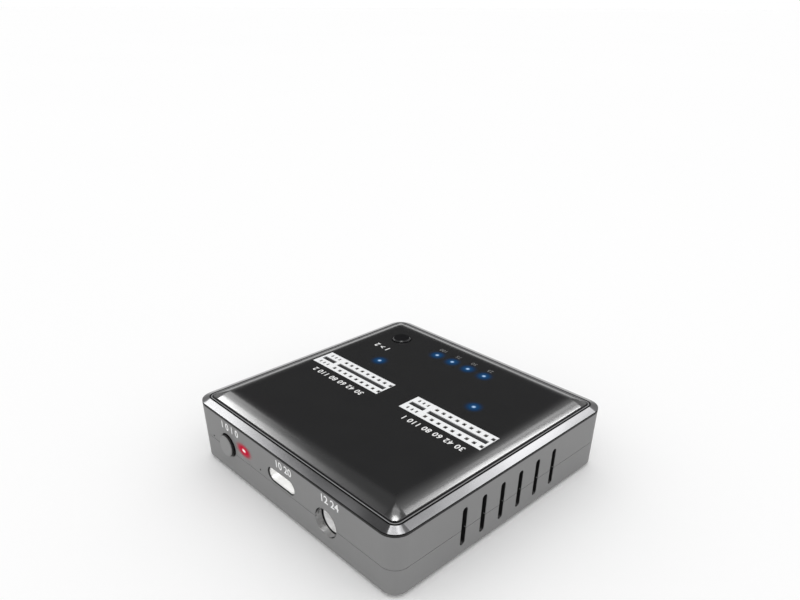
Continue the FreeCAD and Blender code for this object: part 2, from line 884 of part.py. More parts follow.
def make_usb():
    shell = new_body("usb_shell")
    outline = wall_sketch(shell, usb_back)
    draw_stadium(outline, s.usb_width, s.usb_tall, s.usb_place_x, usb_middle)
    draw_stadium(outline, s.usb_width - 2 * s.usb_skin, s.usb_tall - 2 * s.usb_skin, s.usb_place_x, usb_middle)
    pad(shell, outline, s.usb_length, reverse=True)
    legs = new_sketch(shell, offset=board_level)
    for side in (-1, 1):
        for y in (usb_back + s.usb_leg_width, usb_back + s.usb_length - 3 * s.usb_leg_width):
            draw_rectangle(legs, s.usb_skin, s.usb_leg_width,
                           s.usb_place_x + side * (s.usb_width - s.usb_skin) / 2, y)
    pad(shell, legs, usb_middle - board_level)

    insulator = new_body("usb_insulator")
    plug = wall_sketch(insulator, usb_back)
    draw_stadium(plug, s.usb_width - 2 * (s.usb_skin + s.usb_play), s.usb_tall - 2 * (s.usb_skin + s.usb_play),
                 s.usb_place_x, usb_middle)
    pad(insulator, plug, s.usb_back_block, reverse=True)
    tongue = wall_sketch(insulator, usb_back)
    draw_rectangle(tongue, s.usb_tongue_width, s.usb_tongue_thick, s.usb_place_x, usb_middle)
    tongue_length = s.usb_length - s.usb_tongue_short
    pad(insulator, tongue, tongue_length, reverse=True)
    stand_tall = usb_middle - s.usb_tall / 2 - s.usb_play - board_level
    base = wall_sketch(insulator, usb_back)
    draw_rectangle(base, s.usb_tongue_width, stand_tall, s.usb_place_x, board_level + stand_tall / 2)
    pad(insulator, base, s.usb_length / 2, reverse=True)
    back_tall = usb_middle + s.usb_tall / 2 - board_level
    back = wall_sketch(insulator, usb_back)
    draw_rectangle(back, s.usb_tongue_width, back_tall, s.usb_place_x, board_level + back_tall / 2)
    pad(insulator, back, s.usb_back_block)

    pins = []
    pin_y = usb_back + tongue_length - s.usb_skin - s.usb_pin_length / 2
    for k in range(int(s.usb_pin_count.number)):
        x = s.usb_place_x + (k - (s.usb_pin_count - 1) / 2) * s.usb_pin_pitch
        for z in (usb_middle + s.usb_tongue_thick / 2, usb_middle - s.usb_tongue_thick / 2 - s.usb_pin_thick):
            pins.append(box(s.usb_pin_width, s.usb_pin_length, s.usb_pin_thick, x, pin_y, z))
    group("usb_contacts", pins)


# Power inlet: a moulded block in the board's notch, a spring leaf in its bore and a centre pin

jack_middle = base_level + s.jack_height


def make_jack():
    block = box(s.jack_width, s.jack_length, s.jack_tall,
                jack_place_x, (jack_front + jack_back) / 2, jack_middle - s.jack_tall / 2)
    wings = box(s.jack_width + 2 * s.jack_wing, s.jack_length / 2, s.jack_wing_thick,
                jack_place_x, jack_back + s.jack_length / 4, board_level)
    bore = rod(s.jack_bore_radius, s.jack_bore_depth, jack_place_x, jack_front, jack_middle, "-Y")
    keep(cut(fused(block, wings), bore), "jack_body")

    leaf_length = s.jack_bore_depth - 2 * s.jack_pin_short
    keep(box(s.jack_leaf_width, leaf_length, s.jack_leaf_thick, jack_place_x,
             jack_front - s.jack_bore_depth + leaf_length / 2,
             jack_middle - s.jack_bore_radius + s.jack_leaf_lift), "jack_spring_leaf")

    pin_length = s.jack_bore_depth - s.jack_pin_short - s.jack_pin_nose
    pin = rod(s.jack_pin_radius, pin_length, jack_place_x, jack_front - s.jack_bore_depth, jack_middle, "Y")
    nose = doc.addObject("Part::Cone", "nose")
    bind(nose, "Radius1", s.jack_pin_radius)
    bind(nose, "Radius2", s.jack_pin_radius / 2)
    bind(nose, "Height", s.jack_pin_nose)
    nose.Placement = pin.Placement
    place(nose, jack_place_x, jack_front - s.jack_pin_short - s.jack_pin_nose, jack_middle)
    keep(fused(pin, nose), "jack_pin")

    blade_wide, blade_thick = s.jack_pin_radius, s.jack_leaf_thick
    group("jack_terminals", [box(blade_wide, 2 * s.jack_wing, blade_thick, jack_place_x + side * s.jack_width / 4,
                                 jack_back - s.jack_wing, board_level) for side in (-1, 1)])


# Power button: a round cap with a flange behind the wall, on the plunger of a side-push switch

power_middle = base_level + s.power_height


def make_power_button():
    cap = new_body("power_button")
    face = half_depth(power_middle) + s.power_stand - power_flange_back
    revolve(cap, [(zero, zero), (flange_reach, zero), (flange_reach, s.power_flange_thick),
                  (s.power_radius, s.power_flange_thick), (s.power_radius, face - s.power_round),
                  (s.power_radius - s.power_round, face), (zero, face)])
    cap.Placement = FreeCAD.Placement(FreeCAD.Vector(), FreeCAD.Rotation(FreeCAD.Vector(1, 0, 0), -90))
    place(cap, power_place_x, power_flange_back, power_middle)

    plunger_back = power_flange_back - s.power_plunger_length
    plunger_low = power_middle - s.power_plunger_tall / 2
    keep(box(s.power_plunger_width, s.power_plunger_length, s.power_plunger_tall, power_place_x,
             (power_flange_back + plunger_back) / 2, plunger_low), "power_plunger")

    entry = s.power_plunger_length / 2
    switch_front = plunger_back + entry
    switch = box(s.power_switch_width, s.power_switch_length, s.power_switch_tall, power_place_x,
                 switch_front - s.power_switch_length / 2, board_level)
    well_depth = entry + s.power_travel + s.power_flange_gap
    well = box(s.power_plunger_width + 2 * s.power_flange_gap, well_depth,
               s.power_plunger_tall + 2 * s.power_flange_gap, power_place_x,
               switch_front - well_depth / 2, plunger_low - s.power_flange_gap)
    keep(cut(switch, well), "power_switch")


# Copy button: a round cap whose stem stands on the long plunger of a switch on the board

def make_clone_button():
    cap = new_body("clone_button")
    plunger_top = board_level + s.clone_plunger_top
    flange_top = ceiling_level - s.clone_flange_gap
    cap_top = cover_level + s.clone_stand
    reach = s.clone_radius + s.clone_flange
    revolve(cap, [(zero, plunger_top), (s.clone_stem_radius, plunger_top),
                  (s.clone_stem_radius, flange_top - s.clone_flange_thick), (reach, flange_top - s.clone_flange_thick),
                  (reach, flange_top), (s.clone_radius, flange_top), (s.clone_radius, cap_top - s.clone_round),
                  (s.clone_radius - s.clone_round, cap_top), (zero, cap_top)])
    place(cap, clone_place_x, clone_place_y)

    switch_top = board_level + s.clone_switch_tall
    plunger_low = switch_top - s.clone_plunger_reach
    keep(rod(s.clone_plunger_radius, plunger_top - plunger_low, clone_place_x, clone_place_y, plunger_low),
         "clone_plunger")
    switch = box(s.clone_switch_width, s.clone_switch_width, s.clone_switch_tall,
                 clone_place_x, clone_place_y, board_level)
    well_low = plunger_low - s.clone_travel - s.clone_flange_gap
    well = rod(s.clone_plunger_radius + s.clone_flange_gap, switch_top - well_low + s.clone_flange_gap,
               clone_place_x, clone_place_y, well_low)
    keep(cut(switch, well), "clone_switch")


# Lamps on the board, and the clear pipes that end under the smoked top or in the port wall

lamp_places = [(k - (s.lamp_count - 1) / 2) * s.lamp_pitch for k in range(int(s.lamp_count.number))]
pipe_low = board_level + s.lamp_tall + s.pipe_lamp_gap


def make_lamp(x, y):
    return box(s.lamp_length, s.lamp_width, s.lamp_tall, x, y, board_level)


def make_pipe(x, y):
    return box(s.pipe_size, s.pipe_size, ceiling_level - pipe_low, x, y, pipe_low)


def make_lamps():
    group("progress_lamps", [make_lamp(x, lamp_place_y) for x in lamp_places])
    bar_length = (s.lamp_count - 1) * s.lamp_pitch + s.guide_bar_depth
    bar = box(bar_length, s.guide_bar_depth, s.guide_bar_thick, zero, lamp_place_y,
              ceiling_level - s.guide_bar_drop)
    keep(fused(bar, *[make_pipe(x, lamp_place_y) for x in lamp_places]), "progress_light_guide")
    for side, x in socket_places.items():
        keep(make_lamp(x, s.socket_lamp_y), f"{side}_lamp")
        keep(make_pipe(x, s.socket_lamp_y), f"{side}_light_pipe")

    height = base_level + s.power_lamp_height
    pipe_end = half_depth(height)
    pipe_start = pipe_end - s.power_pipe_back
    level_run = rod(s.pipe_radius, s.power_pipe_back, power_lamp_x, pipe_start, height, "Y")
    drop = box(2 * s.pipe_radius, 2 * s.pipe_radius, height + s.pipe_radius - pipe_low,
               power_lamp_x, pipe_start, pipe_low)
    keep(fused(level_run, drop), "power_light_pipe")
    keep(make_lamp(power_lamp_x, pipe_start), "power_lamp")


# Chips and power parts on the board

def make_chip(size, x, y):
    """A flat package whose solder pads just show past its sides."""
    pads = box(size + 2 * s.chip_lead, size + 2 * s.chip_lead, s.chip_lead, x, y, board_level)
    package = box(size, size, s.chip_thick, x, y, board_level)
    return fused(pads, package)


def make_board_parts():
    crystals = []
    crystal_x = bridge_place_x - (s.bridge_size + s.crystal_length) / 2 - s.crystal_gap
    for side, sign in (("source", -1), ("target", 1)):
        keep(make_chip(s.bridge_size, sign * bridge_place_x, bridge_place_y), f"{side}_bridge_chip")
        crystals.append(box(s.crystal_length, s.crystal_width, s.crystal_tall, sign * crystal_x,
                            bridge_place_y + s.crystal_from_bridge, board_level))
    group("crystals", crystals)
    keep(make_chip(s.controller_size, s.controller_place_x, s.controller_place_y), "controller_chip")
    regulator_x = part_place_x + (s.coil_size + s.regulator_size) / 2 + s.regulator_gap
    keep(make_chip(s.regulator_size, regulator_x, s.coil_place_y - s.coil_pitch), "regulator_chip")
    keep(box(s.memory_length, s.memory_width, s.memory_thick, s.memory_place_x, s.memory_place_y, board_level),
         "memory_chip")

    coils = []
    for k in (0, 1):
        core = new_body(f"power_coil_{k + 1}")
        outline = new_sketch(core)
        draw_rounded(outline, s.coil_size, s.coil_size, s.coil_round)
        pad(core, outline, s.coil_tall)
        place(core, part_place_x, s.coil_place_y - k * s.coil_pitch, board_level)
        coils.append(core)

    group("bulk_capacitors", [box(s.bulk_length, s.bulk_width, s.bulk_tall, side_wall - s.bulk_from_side,
                                  s.bulk_place_y + k * s.bulk_pitch, board_level) for k in (0, 1)])

    first = s.controller_place_x - (s.chip_cap_count - 1) * s.chip_cap_pitch / 2
    group("chip_capacitors", [box(s.chip_cap_length, s.chip_cap_width, s.chip_cap_tall, first + k * s.chip_cap_pitch,
                                  s.chip_cap_row_y, board_level) for k in range(int(s.chip_cap_count.number))])


make_base_cover()
make_housing()
make_rim()
make_top_cover()
make_feet()
make_screws()
make_board()
for name in socket_places:
    make_socket(name)
    make_contacts(name)
make_usb()
make_jack()
make_power_button()
make_clone_button()
make_lamps()
make_board_parts()
doc.recompute()

for thing in doc.Objects:
    if "Invalid" in thing.State or "Error" in thing.State:
        raise ValueError(f"{thing.Label} failed: {thing.State}")
os.makedirs("parts", exist_ok=True)
for part in parts:
    if part.Shape.isNull() or not part.Shape.isValid():
        raise ValueError(f"{part.Label} has no valid shape")
for part in parts:
    part.Shape.exportStep(f"parts/{part.Label}.step")
print(len(parts), "sub-parts written")
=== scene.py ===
import math

import bmesh
import bpy
from mathutils import Matrix, Vector


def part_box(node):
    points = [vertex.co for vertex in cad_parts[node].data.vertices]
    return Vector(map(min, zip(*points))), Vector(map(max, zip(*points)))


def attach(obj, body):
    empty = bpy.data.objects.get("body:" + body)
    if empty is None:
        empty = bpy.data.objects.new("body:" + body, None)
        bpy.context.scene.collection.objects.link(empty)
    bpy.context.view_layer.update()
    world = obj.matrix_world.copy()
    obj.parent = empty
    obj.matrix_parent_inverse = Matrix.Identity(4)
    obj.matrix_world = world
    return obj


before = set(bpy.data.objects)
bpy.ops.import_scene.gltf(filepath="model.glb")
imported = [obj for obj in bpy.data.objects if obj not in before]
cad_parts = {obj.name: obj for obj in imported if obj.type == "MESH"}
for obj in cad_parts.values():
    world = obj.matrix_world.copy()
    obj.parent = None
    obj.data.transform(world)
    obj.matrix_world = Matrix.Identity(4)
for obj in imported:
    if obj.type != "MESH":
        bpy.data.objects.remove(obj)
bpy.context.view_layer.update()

mm = 0.001


# Camera. The dock is seen from above the corner between its ports and its cooling slots,
# as it stands on a desk; the picture's lower half is the dock and its upper half is bare.
azimuth, elevation, roll = (math.radians(degrees) for degrees in (226.32, 22.173, 0.223))
level_right = Vector((math.cos(azimuth), math.sin(azimuth), 0))
towards_camera = Vector((math.sin(azimuth) * math.cos(elevation), -math.cos(azimuth) * math.cos(elevation),
                         math.sin(elevation)))
level_up = towards_camera.cross(level_right)
right = math.cos(roll) * level_right + math.sin(roll) * level_up
up = -math.sin(roll) * level_right + math.cos(roll) * level_up

camera = bpy.data.objects.new("camera", bpy.data.cameras.new("camera"))
bpy.context.collection.objects.link(camera)
camera.data.lens = 32.98
camera.data.sensor_width = 36
camera.data.clip_start = 0.01
camera.matrix_world = Matrix.Translation((-104.81 * mm, 99.79 * mm, 98.55 * mm)) @ Matrix(
    (right, up, towards_camera)).transposed().to_4x4()
bpy.context.scene.camera = camera
bpy.context.scene.view_settings.view_transform = "Standard"


# Desk and studio. A pale seamless sheet runs under the dock, in plain white light from all round.
# Gloss and metal also show soft boxes behind, beside and above it, and two black flags between them.
class Shade:
    """A socket of a shader tree. Sums and comparisons on it add their Math nodes."""

    def __init__(self, socket):
        self.socket = socket
        self.tree = socket.id_data

    def node(self, kind, settings=None, inputs=None, output=0):
        made = self.tree.nodes.new(kind)
        for name, setting in (settings or {}).items():
            setattr(made, name, setting)
        for name, value in (inputs or {}).items():
            if isinstance(value, Shade):
                self.tree.links.new(value.socket, made.inputs[name])
            else:
                made.inputs[name].default_value = value
        return Shade(made.outputs[output])

    def math(self, operation, first, second=0.0):
        return self.node("ShaderNodeMath", {"operation": operation}, {0: first, 1: second})

    def __add__(self, other):
        return self.math("ADD", self, other)

    __radd__ = __add__

    def __sub__(self, other):
        return self.math("SUBTRACT", self, other)

    def __rsub__(self, other):
        return self.math("SUBTRACT", other, self)

    def __mul__(self, other):
        return self.math("MULTIPLY", self, other)

    __rmul__ = __mul__

    def __truediv__(self, other):
        return self.math("DIVIDE", self, other)

    def __pow__(self, other):
        return self.math("POWER", self, other)

    def __gt__(self, other):
        return self.math("GREATER_THAN", self, other)

    def __lt__(self, other):
        return self.math("LESS_THAN", self, other)

    def __abs__(self):
        return self.math("ABSOLUTE", self)

    def least(self, other):
        return self.math("MINIMUM", self, other)

    def most(self, other):
        return self.math("MAXIMUM", self, other)

    def ease(self, low, high):
        """0 below low and 1 above high, with a soft step between."""
        return self.node("ShaderNodeMapRange", {"interpolation_type": "SMOOTHSTEP"},
                         {"Value": self, "From Min": low, "From Max": high})

    def tint(self, low, high):
        """A colour between two plain or shaded ones, as this value goes from 0 to 1."""
        low, high = (end if isinstance(end, Shade) else (*end, 1) for end in (low, high))
        return self.node("ShaderNodeMix", {"data_type": "RGBA"}, {0: self, 6: low, 7: high}, output=2)


world = bpy.data.worlds.new("studio")
world.use_nodes = True
bpy.context.scene.world = world
sky = world.node_tree.nodes["Background"]
ray = Shade(world.node_tree.nodes.new("ShaderNodeLightPath").outputs["Is Glossy Ray"])
direction = ray.node("ShaderNodeTexCoord", output="Generated")


def towards(azimuth_degrees, elevation_degrees):
    """The unit direction from the dock to a point of the studio."""
    a, e = math.radians(azimuth_degrees), math.radians(elevation_degrees)
    return Vector((math.cos(a) * math.cos(e), math.sin(a) * math.cos(e), math.sin(e)))


def black_flag(azimuth_degrees, elevation_degrees, full, gone):
    """1 within an angle in degrees of a direction, and 0 beyond a wider one."""
    middle = tuple(towards(azimuth_degrees, elevation_degrees))
    nearness = direction.node("ShaderNodeVectorMath", {"operation": "DOT_PRODUCT"},
                              {0: direction, 1: middle}, output="Value")
    return nearness.ease(math.cos(math.radians(gone)), math.cos(math.radians(full)))


high_side_flag = 0.6 * black_flag(-2, 58, 8, 20)
low_rear_flag = 0.94 * black_flag(-44, 24, 16, 38)
flags = (1 - high_side_flag) * (1 - low_rear_flag)
glow = 1 - ray * (1 - flags)
world.node_tree.links.new(glow.tint((0, 0, 0), (1, 1, 1)).socket, sky.inputs["Color"])
sky.inputs["Strength"].default_value = 1.0


def soft_box(name, azimuth_degrees, wide_degrees, edges, brightnesses, distance=2.5):
    """A flat lamp that faces the dock and shows in gloss and metal only, graded upwards in strips."""
    for strip, (low_edge, high_edge, brightness) in enumerate(zip(edges, edges[1:], brightnesses)):
        outward = towards(azimuth_degrees, (low_edge + high_edge) / 2)
        lamp = bpy.data.lights.new(f"{name}_{strip}", "AREA")
        lamp.shape = "RECTANGLE"
        lamp.size, lamp.size_y = (distance * math.radians(angle)
                                  for angle in (wide_degrees, high_edge - low_edge))
        lamp.energy = brightness * math.pi * lamp.size * lamp.size_y
        lamp.use_shadow = False
        holder = bpy.data.objects.new(lamp.name, lamp)
        holder.location = outward * distance
        holder.rotation_mode = "QUATERNION"
        holder.rotation_quaternion = outward.to_track_quat("Z", "Y")
        holder.visible_diffuse = False
        holder.visible_camera = False
        bpy.context.collection.objects.link(holder)


soft_box("rear_soft_box", -107, 12.4, (38, 52, 58), (22, 9))
soft_box("rear_soft_box_side", -94, 4.9, (38, 52, 60), (3, 2))
soft_box("rear_fill", -87, 4.4, (38, 40, 43, 49, 52, 55, 60), (3, 4.4, 6, 3.8, 2, 1))
soft_box("rear_fill_side", -78.5, 7.2, (38, 60), (0.4,))
soft_box("side_soft_box", 9.5, 11.4, (30, 40, 43, 46, 49, 54), (24, 10, 4, 1.8, 0.8))
soft_box("side_fill", -1.5, 5.4, (34, 41.5, 43, 44.5, 46, 48), (5.2, 3.4, 2, 1.1, 0.4))
soft_box("side_fill_edge", -9.5, 7.1, (30, 41, 44), (4, 1.4))
# The last box hangs nearer than the fill behind it, because lamps in one plane hide each other.
soft_box("overhead_fill", -50, 28, (62, 68, 72, 76, 79, 112), (0.5, 1.3, 2.8, 5.8, 3.5))
soft_box("overhead_soft_box", -50, 17, (93, 112), (24,), 2.4)


def finish(name, paint, **plain):
    """A new material. plain sets the shader's own sockets; paint(place) gives those that vary."""
    material = bpy.data.materials.new(name)
    material.use_nodes = True
    tree = material.node_tree
    shader = tree.nodes["Principled BSDF"]
    for socket, value in plain.items():
        shader.inputs[socket.replace("_", " ")].default_value = value
    place = Shade(tree.nodes.new("ShaderNodeTexCoord").outputs["Object"])
    for socket, value in paint(place).items():
        tree.links.new(value.socket, shader.inputs[socket])
    return material


def noise(place, size, detail=2.0):
    """Cloudy noise from 0 to 1, with lumps of about this size in metres."""
    return place.node("ShaderNodeTexNoise", inputs={"Vector": place, "Scale": 1 / size, "Detail": detail})


def paint_desk(place):
    return {"Base Color": noise(place, 0.4).tint((0.985, 0.985, 0.986), (0.995, 0.995, 0.995))}


sheet = bpy.data.meshes.new("desk")
outline = bmesh.new()
bmesh.ops.create_circle(outline, cap_ends=True, segments=96, radius=12)
outline.to_mesh(sheet)
outline.free()
desk = bpy.data.objects.new("desk", sheet)
bpy.context.collection.objects.link(desk)
sheet.materials.append(finish("pale_sheet", paint_desk, Roughness=0.9, Specular_IOR_Level=0.0))


# Casing. Two shells of grey anodised aluminium with a fine blasted grain meet at a thin reveal;
# the lower one carries the upright tongue and the bosses, the upper one the flange for the rim.
wall_low, wall_top = 0.8 * mm, 14.45 * mm
wall_lean = 0.76 / 13.65
wall_half = Vector(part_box("housing")[1])
corner_radius = 3.75 * mm
reveal_low, reveal_high = 6.5 * mm, 6.75 * mm
skin, reveal_deeper = 0.12 * mm, 0.38 * mm
# Height of the band of painted shadow along the top edge of the wall, under the rim.
top_edge_shade = 0.4 * mm
unlit_black = (0.004, 0.004, 0.004)
bore_middle, bore_radius = Vector((-13.5 * mm, 0, 6.7 * mm)), 3.25 * mm


def linear(grey):
    """The light that a screen's grey from 0 to 255 stands for."""
    return ((grey / 255 + 0.055) / 1.055) ** 2.4


def axes(place):
    """The x, y and z of a place."""
    return [place.node("ShaderNodeSeparateXYZ", inputs={0: place}, output=axis) for axis in "XYZ"]


def inset_of(x, y, half, radius, lean_in=0.0):
    """How far in a point lies from a round-cornered outline that has leant in by some length."""
    x, y = abs(x) - (half.x - radius), abs(y) - (half.y - radius)
    reach = (x.most(0.0) ** 2 + y.most(0.0) ** 2) ** 0.5
    return radius - lean_in - reach - x.most(y).least(0.0)


def relief(height, depth, strength=1.0):
    """The normal of a surface that stands out by a height times a depth in metres."""
    return height.node("ShaderNodeBump", inputs={"Height": height, "Distance": depth, "Strength": strength})


def paint_shell(place):
    """Grey outside, with painted shade in black inside and as a dark line along the top edge, and bright in
    the inlet's bore.
    """
    blast = noise(place, 0.12 * mm, 3.0)
    cloud = noise(place, 14 * mm)
    shell_grey = linear(126)
    grey = (blast * 0.35 + cloud * 0.65).tint(3 * (shell_grey * 0.95,), 3 * (shell_grey * 1.05,))
    x, y, z = axes(place)
    depth = inset_of(x, y, wall_half, corner_radius, wall_lean * (wall_top - z))
    away = ((x - bore_middle.x) ** 2 + (z - bore_middle.z) ** 2) ** 0.5
    bore = (away < bore_radius) * (y > 0.0) * (depth > 0.05 * mm)
    reveal = (z > reveal_low) * (z < reveal_high)
    # Painted shade: the inside, and a band along the top edge as the shadow of the gap under the rim, are
    # coloured black; the reveal and the bore are left out.
    painted_shade = (depth > skin + reveal_deeper * reveal) * (z > wall_low + 0.2 * mm) * (1 - bore)
    painted_shade = painted_shade.most(z > wall_top - top_edge_shade)
    return {"Base Color": painted_shade.tint(bore.tint(grey, (0.35, 0.35, 0.35)), unlit_black),
            "Metallic": bore, "Roughness": (0.46 + 0.12 * blast) * (1 - bore) + 0.2 * bore,
            "Normal": relief(blast, 0.006 * mm, 0.5)}


shell = finish("blasted_shell", paint_shell, Specular_IOR_Level=0.35)


def dress(material, *nodes):
    """Gives the named nodes of the dock a finish of their own."""
    for node in nodes:
        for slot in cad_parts[node].material_slots:
            slot.material = material


dress(shell, "base_cover", "housing")


# Rim. A bright bevelled frame is cut with a diamond tool after anodising, with a fine groove along its
# land;
# the groove and a thin strip of the bevel beside it are painted black as shade, and a black gasket shows
# under it and beside the top.
low, high = (Vector(corner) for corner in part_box("trim_ring"))
rim_half = (high - low) / 2
groove_shade_near, groove_shade_far = 1.62 * mm, 2.02 * mm


def paint_rim(place):
    """Cut metal outside, painted shade in the groove, and a plain grey land inside it."""
    x, y, z = axes(place)
    inset = inset_of(x, y, rim_half, corner_radius)
    # Painted shade: the groove and a thin strip of the bevel beside it are coloured black.
    groove_shade = (inset > groove_shade_near) * (inset < groove_shade_far)
    land = (inset > groove_shade_far)
    turned = noise(place, 0.5 * mm)
    metal = turned.tint((0.125, 0.125, 0.128), (0.14, 0.14, 0.143))
    return {"Base Color": groove_shade.tint(land.tint(metal, (0.22, 0.22, 0.225)), (0.003, 0.003, 0.003)),
            "Metallic": 1 - groove_shade - land, "Roughness": 0.08 + 0.03 * turned + 0.6 * (groove_shade + land)}


dress(finish("diamond_cut_edge", paint_rim, Specular_IOR_Level=0.2), "trim_ring")


def paint_gasket(place):
    return {"Base Color": noise(place, 0.3 * mm).tint((0.003, 0.003, 0.003), (0.008, 0.008, 0.008))}


dress(finish("gasket_rubber", paint_gasket, Roughness=0.8, Specular_IOR_Level=0.1), "rim_gasket")


# Top. One moulding of smoked black acrylic is polished to a deep gloss and bonded into the rim;
# its border falls away softly on all four sides, and the polish rounds the corners where it meets.
top_half = Vector(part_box("top_cover")[1])
border, border_arc, corner_round = 5 * mm, 10.6 * mm, 3 * mm


def paint_top(place):
    haze = noise(place, 6 * mm)
    x, y, z = axes(place)
    inset = (top_half.x - abs(x)).least(top_half.y - abs(y))
    rounded = inset_of(x, y, top_half, corner_round)
    fall = ((border - inset).most(0.0) ** 2 - (border - rounded).most(0.0) ** 2) / (2 * border_arc)
    edge = inset < skin
    return {"Base Color": haze.tint((0.018, 0.018, 0.0185), (0.021, 0.021, 0.0215)),
            "Roughness": 0.15 + 0.03 * haze + 0.6 * edge, "Normal": relief(fall, 1.0)}


gloss = finish("polished_smoked_top", paint_top, IOR=1.49)
dress(gloss, "top_cover")


# Sockets. Each is a white heat-proof moulding with gold contact blades down its windows.
def paint_moulding(base, spread, rough, grain=0.15 * mm):
    """A moulded plastic with a faint cloud in its colour and a fine spark-eroded grain."""
    def paint(place):
        fine = noise(place, grain, 3.0)
        cloud = noise(place, 5 * mm)
        darker = tuple(part * (1 - spread) for part in base)
        return {"Base Color": cloud.tint(darker, base), "Roughness": rough - 0.06 + 0.12 * fine,
                "Normal": relief(fine, 0.004 * mm, 0.4)}
    return paint


socket_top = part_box("source_socket")[1][2]
mouth_depth = 0.3 * mm


def paint_socket(place):
    """White on top, with shade painted dark down in the slot and the windows, where no light gets in."""
    painted = paint_moulding((0.90, 0.91, 0.92), 0.05, 0.5)(place)
    # Painted shade, darker with depth below the top of the moulding.
    slot_shade = (socket_top - axes(place)[2]).ease(0.04 * mm, mouth_depth)
    painted["Base Color"] = slot_shade.tint(painted["Base Color"], (0.14, 0.14, 0.145))
    return painted


dress(finish("socket_moulding", paint_socket), "source_socket", "target_socket")


def paint_plating(bright, dull, rough):
    """A plated metal with small dull patches."""
    def paint(place):
        patch = noise(place, 0.8 * mm, 4.0)
        return {"Base Color": patch.tint(dull, bright), "Roughness": rough + 0.15 * patch}
    return paint


gold = finish("gold_flash", paint_plating((0.80, 0.58, 0.22), (0.65, 0.44, 0.15), 0.22), Metallic=1.0)
dress(gold, "source_contacts", "target_contacts")


# Ports. The data port is a drawn steel shell round a light moulding, and the inlet a light
# moulded block with a nickel pin and spring leaf, both soldered to the board behind the wall.
nickel = finish("nickel_plate", paint_plating((0.80, 0.79, 0.77), (0.62, 0.61, 0.60), 0.2), Metallic=1.0)
dress(nickel, "jack_pin", "jack_spring_leaf", "jack_terminals", "crystals", "usb_contacts")
tin = finish("tin_plate", paint_plating((0.95, 0.95, 0.94), (0.88, 0.88, 0.87), 0.35), Metallic=0.4)
dress(tin, "usb_shell")
dress(finish("port_moulding", paint_moulding((0.93, 0.93, 0.93), 0.03, 0.45)), "usb_insulator")
jack_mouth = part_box("jack_body")[1][1]


def paint_jack(place):
    """A light moulding with painted shade as a narrow black ring at its mouth."""
    painted = paint_moulding((0.95, 0.95, 0.95), 0.03, 0.45)(place)
    x, y, z = axes(place)
    away = ((x - bore_middle.x) ** 2 + (z - bore_middle.z) ** 2) ** 0.5
    # Painted shade: the narrow face ring at the mouth is coloured black.
    edge = (y > jack_mouth - 0.05 * mm) * (away > 2.9 * mm)
    painted["Base Color"] = edge.tint(painted["Base Color"], unlit_black)
    return painted


dress(finish("jack_moulding", paint_jack), "jack_body")


# Buttons. The power button is a turned grey cap, the copy button a black one; each stands on
# the plunger of a switch on the board.
cap_grey = linear(128)
cap_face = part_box("power_button")[1][1] - 0.15 * mm


def paint_cap(place):
    """Grey on the face, with painted shade in gloss black down the turned side."""
    painted = paint_moulding(3 * (cap_grey,), 0.05, 0.4)(place)
    # Painted shade: the side that stands proud of the wall is coloured black.
    side = axes(place)[1] < cap_face
    painted["Base Color"] = side.tint(painted["Base Color"], unlit_black)
    painted["Roughness"] = 0.4 - 0.3 * side
    return painted


dress(finish("power_cap", paint_cap), "power_button")
dress(finish("copy_cap", paint_moulding((0.008, 0.008, 0.009), 0.2, 0.2), IOR=1.35), "clone_button")
black_moulding = finish("switch_moulding", paint_moulding((0.02, 0.02, 0.02), 0.2, 0.5))
dress(black_moulding, "power_plunger", "power_switch", "clone_plunger", "clone_switch")


# Lamps. Small white packages on the board shine up clear acrylic guides to windows in the
# smoked top, and one guide carries red light out through the port wall.
def paint_clear(place):
    return {"Base Color": noise(place, 2 * mm).tint((0.80, 0.86, 0.92), (0.88, 0.92, 0.96))}


dress(finish("clear_guide", paint_clear, Roughness=0.08, IOR=1.49),
      "progress_light_guide", "source_light_pipe", "target_light_pipe")
dress(finish("lamp_package", paint_moulding((0.85, 0.83, 0.72), 0.05, 0.4)),
      "progress_lamps", "source_lamp", "target_lamp", "power_lamp")


def make_glow(name, colour, hot, core, reach, fade=1.6, squeeze=1.0):
    """Light in a surface: a hot core that falls to a coloured halo and then to nothing."""
    def paint(place):
        x, y, z = axes(place)
        away = ((x * squeeze) ** 2 + y ** 2) ** 0.5
        heat = 1 - away.ease(core * 0.2, core)
        halo = (1 - away.ease(core * 0.6, reach)) ** fade
        return {"Emission Color": heat.tint(colour, hot), "Alpha": halo.most(heat),
                "Base Color": heat.tint((0.0, 0.0, 0.0), (0.01, 0.01, 0.01))}
    return finish(name, paint, Roughness=1.0, Specular_IOR_Level=0.0, Emission_Strength=1.0)


def place_disc(name, radius, material, matrix, body="casing"):
    """A lit or dark disc that lies on a surface."""
    mesh = bpy.data.meshes.new(name)
    shape = bmesh.new()
    bmesh.ops.create_circle(shape, cap_ends=True, segments=48, radius=radius)
    shape.to_mesh(mesh)
    shape.free()
    mesh.materials.append(material)
    disc = bpy.data.objects.new(name, mesh)
    bpy.context.collection.objects.link(disc)
    disc.matrix_world = matrix
    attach(disc, body)


top_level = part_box("top_cover")[1][2]
window_skin = 0.02 * mm
halo = 3.0 * mm
# Each disc carries a painted glow: the lamp's light spread as a halo over the top round its window.
blue_glow = make_glow("blue_window", (0.012, 0.065, 0.18), (0.42, 0.62, 0.88), 0.65 * mm, halo, 2.0)
socket_lamps = {"source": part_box("source_lamp"), "target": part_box("target_lamp")}
lamp_length = socket_lamps["source"][1][0] - socket_lamps["source"][0][0]
low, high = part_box("progress_lamps")
lamp_pitch = (high[0] - low[0] - lamp_length) / 3
middles = {side: ((a[0] + b[0]) / 2, (a[1] + b[1]) / 2) for side, (a, b) in socket_lamps.items()}
for step in range(4):
    middles[f"progress_{25 * (step + 1)}"] = ((step - 1.5) * lamp_pitch, (low[1] + high[1]) / 2)
for side, (x, y) in middles.items():
    place_disc(f"{side}_window", halo, blue_glow, Matrix.Translation((x, y, top_level + window_skin)))

